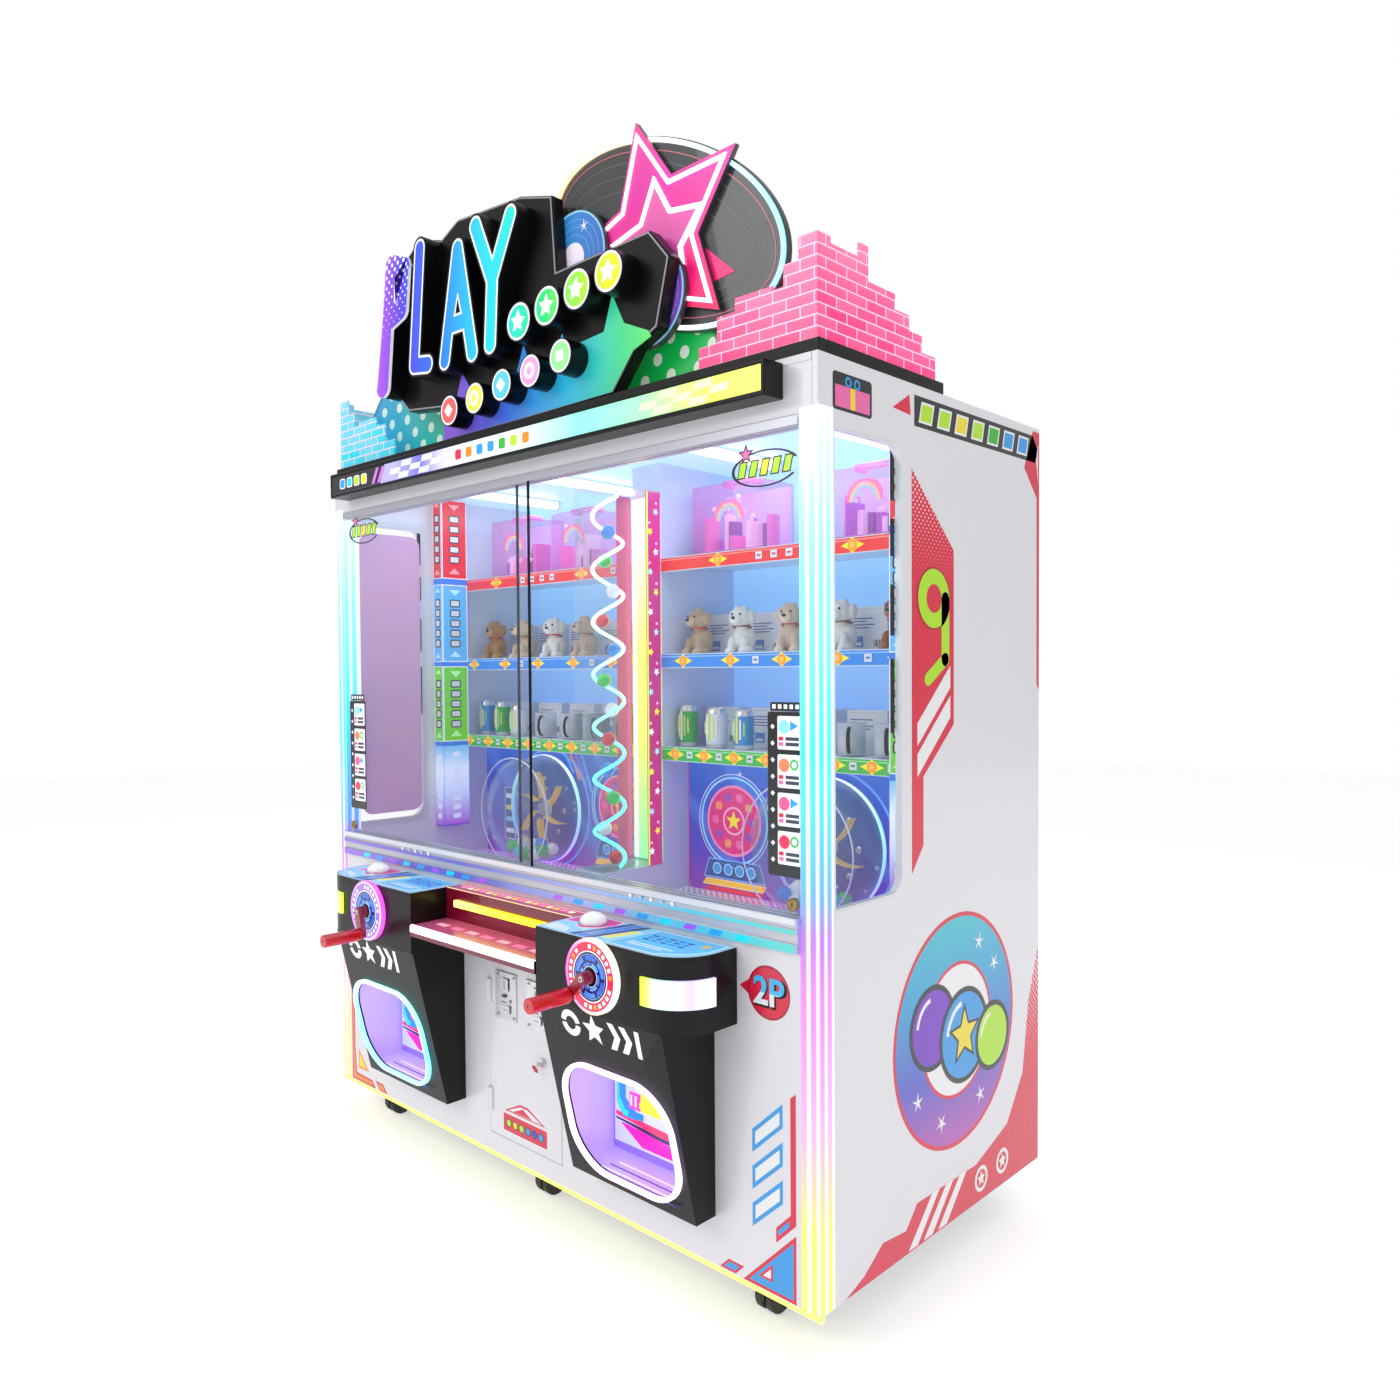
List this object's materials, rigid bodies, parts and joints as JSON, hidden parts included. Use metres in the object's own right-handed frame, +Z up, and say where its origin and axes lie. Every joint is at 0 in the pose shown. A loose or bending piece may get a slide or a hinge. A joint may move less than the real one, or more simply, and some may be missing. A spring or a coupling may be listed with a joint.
{
  "type": "two-player crank and ball drum prize machine",
  "caption": "Two-player prize cabinet: hand cranks turn clear ball drums behind sliding glass, with prize shelves, delivery mouths, a coin door, a lit sign and casters.",
  "frame": {"origin": "on the floor, in the middle of the bounding box", "axes": "+Z up, the players stand at -Y, +X is the players' right"},
  "size_m": [1.9, 1.258, 2.6668],
  "materials": {
    "cabinet_board": "pearl white laminate",
    "base_steel": "black powder coat",
    "post_acrylic": "clear extrusion with a coloured light strip inside",
    "clear_glass": "clear",
    "black_plastic": "gloss",
    "rail_metal": "satin, printed front",
    "white_metal": "gloss white",
    "interior_board": "light blue laminate",
    "floor_board": "pink printed, dotted",
    "clear_plastic": "clear moulded plastic",
    "light_tube": "lit diffuser",
    "shelf_board": "white laminate",
    "edge_strip": "printed and lit",
    "printed_board": "printed and lit",
    "drive_metal": "semi gloss",
    "ball_plastic": "gloss, three colours",
    "prize_card": "printed card and tin",
    "plush_fabric": "short plush",
    "deck_print": "printed clear coat",
    "lamp_plastic": "lit diffuser",
    "chute_metal": "satin lilac",
    "dial_print": "printed, lit rim",
    "shelf_lit": "red and magenta, lit edge",
    "crank_metal": "dark red",
    "grip_plastic": "bright red",
    "dome_plastic": "translucent white",
    "flap_plastic": "smoked",
    "coin_metal": "brushed",
    "marquee_print": "printed, lit from behind",
    "sign_plastic": "colour gradient, lit",
    "skyline_acrylic": "translucent, engraved",
    "caster_wheel": "dark tread"
  },
  "bodies": {
    "cabinet": {"back_panel": "cabinet_board", "base_frame": "base_steel", "centre_shelf": "shelf_lit", "console_decks": "deck_print", "console_pods": "black_plastic", "corner_posts": "post_acrylic", "delivery_chutes": "chute_metal", "dial_plates": "dial_print", "display_floor": "floor_board", "divider_case": "clear_plastic", "drive_units": "drive_metal", "front_lights": "lamp_plastic", "front_panel": "cabinet_board", "game_balls": "ball_plastic", "inner_liner": "interior_board", "light_tubes": "light_tube", "marquee_box": "white_metal", "marquee_lens": "marquee_print", "power_inlet": "black_plastic", "printed_boards": "printed_board", "prize_goods": "prize_card", "prize_plush": "plush_fabric", "roof_and_header": "cabinet_board", "roof_trim": "base_steel", "shelf_boards": "shelf_board", "shelf_edges": "edge_strip", "side_panels": "cabinet_board", "side_windows": "clear_glass", "sign_board": "black_plastic", "sign_dot_board": "sign_plastic", "sign_letters": "sign_plastic", "sign_shapes": "sign_plastic", "skyline_panels": "skyline_acrylic", "window_rails": "rail_metal"},
    "service_door": {"service_door": "cabinet_board", "coin_acceptors": "coin_metal"},
    "pane_left": {"glass_pane_left": "clear_glass"},
    "crank_left": {"crank_arm_left": "crank_metal"},
    "grip_left": {"crank_grip_left": "grip_plastic"},
    "drum_left": {"ball_drum_left": "clear_plastic"},
    "button_left": {"dome_button_left": "dome_plastic"},
    "flap_left": {"delivery_flap_left": "flap_plastic"},
    "pane_right": {"glass_pane_right": "clear_glass"},
    "crank_right": {"crank_arm_right": "crank_metal"},
    "grip_right": {"crank_grip_right": "grip_plastic"},
    "drum_right": {"ball_drum_right": "clear_plastic"},
    "button_right": {"dome_button_right": "dome_plastic"},
    "flap_right": {"delivery_flap_right": "flap_plastic"},
    "swivel_front_left": {"caster_fork_front_left": "base_steel"},
    "wheel_front_left": {"caster_wheel_front_left": "caster_wheel"},
    "swivel_front_middle": {"caster_fork_front_middle": "base_steel"},
    "wheel_front_middle": {"caster_wheel_front_middle": "caster_wheel"},
    "swivel_front_right": {"caster_fork_front_right": "base_steel"},
    "wheel_front_right": {"caster_wheel_front_right": "caster_wheel"},
    "swivel_rear_left": {"caster_fork_rear_left": "base_steel"},
    "wheel_rear_left": {"caster_wheel_rear_left": "caster_wheel"},
    "swivel_rear_middle": {"caster_fork_rear_middle": "base_steel"},
    "wheel_rear_middle": {"caster_wheel_rear_middle": "caster_wheel"},
    "swivel_rear_right": {"caster_fork_rear_right": "base_steel"},
    "wheel_rear_right": {"caster_wheel_rear_right": "caster_wheel"}
  },
  "joints": [
    {"name": "door_hinge", "type": "hinge", "parent": "cabinet", "child": "service_door", "pos_m": [-0.15, -0.3205, 0.384], "axis": [0, 0, -1], "range_deg": [0, 95]},
    {"name": "pane_left_slide", "type": "slide", "parent": "cabinet", "child": "pane_left", "axis": [1, 0, 0], "range_m": [0, 0.86]},
    {"name": "pane_right_slide", "type": "slide", "parent": "cabinet", "child": "pane_right", "axis": [1, 0, 0], "range_m": [-0.86, 0]},
    {"name": "drum_left_turn", "type": "hinge", "parent": "cabinet", "child": "drum_left", "pos_m": [-0.575, 0.152, 0.928], "axis": [0, 1, 0], "continuous": true},
    {"name": "crank_left_turn", "type": "hinge", "parent": "cabinet", "child": "crank_left", "pos_m": [-0.472, -0.516, 0.722], "axis": [0, 1, 0], "continuous": true},
    {"name": "grip_left_spin", "type": "hinge", "parent": "crank_left", "child": "grip_left", "pos_m": [-0.45647, -0.576, 0.66404], "axis": [0, 1, 0], "continuous": true},
    {"name": "button_left_press", "type": "slide", "parent": "cabinet", "child": "button_left", "axis": [0, 0, -1], "range_m": [0, 0.004], "stiffness_N_per_m": 500},
    {"name": "flap_left_swing", "type": "hinge", "parent": "cabinet", "child": "flap_left", "pos_m": [-0.478, -0.284, 0.4905], "axis": [1, 0, 0], "range_deg": [0, 48]},
    {"name": "drum_right_turn", "type": "hinge", "parent": "cabinet", "child": "drum_right", "pos_m": [0.575, 0.152, 0.928], "axis": [0, 1, 0], "continuous": true},
    {"name": "crank_right_turn", "type": "hinge", "parent": "cabinet", "child": "crank_right", "pos_m": [0.472, -0.516, 0.722], "axis": [0, 1, 0], "continuous": true},
    {"name": "grip_right_spin", "type": "hinge", "parent": "crank_right", "child": "grip_right", "pos_m": [0.42957, -0.576, 0.67957], "axis": [0, 1, 0], "continuous": true},
    {"name": "button_right_press", "type": "slide", "parent": "cabinet", "child": "button_right", "axis": [0, 0, -1], "range_m": [0, 0.004], "stiffness_N_per_m": 500},
    {"name": "flap_right_swing", "type": "hinge", "parent": "cabinet", "child": "flap_right", "pos_m": [0.478, -0.284, 0.4905], "axis": [1, 0, 0], "range_deg": [0, 48]},
    {"name": "swivel_front_left_turn", "type": "hinge", "parent": "cabinet", "child": "swivel_front_left", "pos_m": [-0.76, -0.256, 0.095], "axis": [0, 0, 1], "continuous": true},
    {"name": "wheel_front_left_roll", "type": "hinge", "parent": "swivel_front_left", "child": "wheel_front_left", "pos_m": [-0.76, -0.23, 0.0375], "axis": [1, 0, 0], "continuous": true},
    {"name": "swivel_front_middle_turn", "type": "hinge", "parent": "cabinet", "child": "swivel_front_middle", "pos_m": [0, -0.256, 0.095], "axis": [0, 0, 1], "continuous": true},
    {"name": "wheel_front_middle_roll", "type": "hinge", "parent": "swivel_front_middle", "child": "wheel_front_middle", "pos_m": [0, -0.23, 0.0375], "axis": [1, 0, 0], "continuous": true},
    {"name": "swivel_front_right_turn", "type": "hinge", "parent": "cabinet", "child": "swivel_front_right", "pos_m": [0.76, -0.256, 0.095], "axis": [0, 0, 1], "continuous": true},
    {"name": "wheel_front_right_roll", "type": "hinge", "parent": "swivel_front_right", "child": "wheel_front_right", "pos_m": [0.76, -0.23, 0.0375], "axis": [1, 0, 0], "continuous": true},
    {"name": "swivel_rear_left_turn", "type": "hinge", "parent": "cabinet", "child": "swivel_rear_left", "pos_m": [-0.76, 0.556, 0.095], "axis": [0, 0, 1], "continuous": true},
    {"name": "wheel_rear_left_roll", "type": "hinge", "parent": "swivel_rear_left", "child": "wheel_rear_left", "pos_m": [-0.76, 0.582, 0.0375], "axis": [1, 0, 0], "continuous": true},
    {"name": "swivel_rear_middle_turn", "type": "hinge", "parent": "cabinet", "child": "swivel_rear_middle", "pos_m": [0, 0.556, 0.095], "axis": [0, 0, 1], "continuous": true},
    {"name": "wheel_rear_middle_roll", "type": "hinge", "parent": "swivel_rear_middle", "child": "wheel_rear_middle", "pos_m": [0, 0.582, 0.0375], "axis": [1, 0, 0], "continuous": true},
    {"name": "swivel_rear_right_turn", "type": "hinge", "parent": "cabinet", "child": "swivel_rear_right", "pos_m": [0.76, 0.556, 0.095], "axis": [0, 0, 1], "continuous": true},
    {"name": "wheel_rear_right_roll", "type": "hinge", "parent": "swivel_rear_right", "child": "wheel_rear_right", "pos_m": [0.76, 0.582, 0.0375], "axis": [1, 0, 0], "continuous": true}
  ],
  "couplings": [
    {"joint": "crank_left_turn", "follows": "drum_left_turn", "ratio": 1},
    {"joint": "crank_right_turn", "follows": "drum_right_turn", "ratio": 1}
  ]
}
